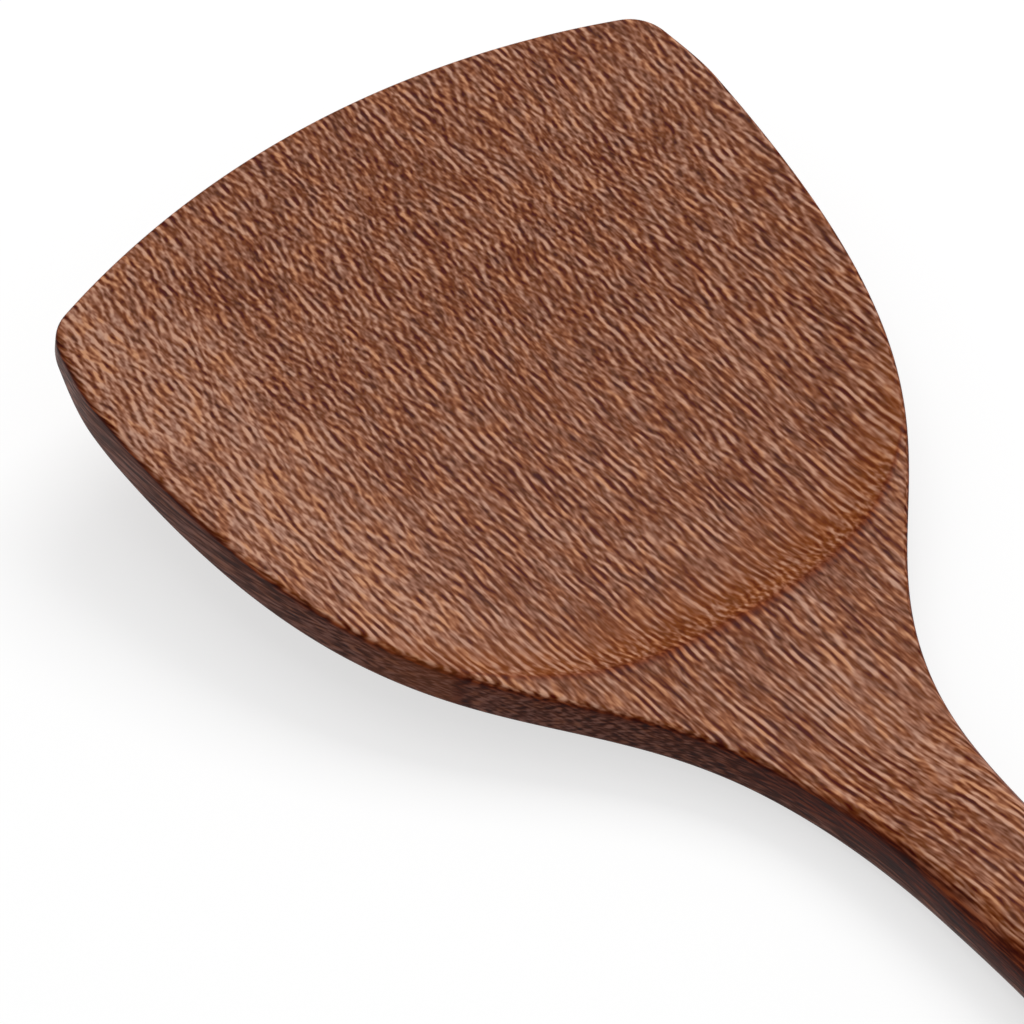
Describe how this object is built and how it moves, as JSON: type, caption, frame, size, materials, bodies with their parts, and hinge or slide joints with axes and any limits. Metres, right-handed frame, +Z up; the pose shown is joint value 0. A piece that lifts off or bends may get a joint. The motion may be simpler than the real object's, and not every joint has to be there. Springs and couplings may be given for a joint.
{
  "type": "wooden wok spatula",
  "caption": "Wooden wok spatula carved from one blank: broad bowed blade, shallow dish, shoulder, narrow neck and long handle with a hanging hole.",
  "frame": {"origin": "centre of the bounding box's base, on the surface that the handle lies on", "axes": "+X along the length towards the blade's front edge, +Y across the blade, +Z up, away from the flat underside of the handle; the blade rises towards +X"},
  "size_m": [0.3664, 0.095, 0.0248],
  "materials": {
    "wood": "sanded and lightly oiled, open-grained, satin"
  },
  "bodies": {
    "root": {"spatula": "wood"}
  },
  "joints": []
}
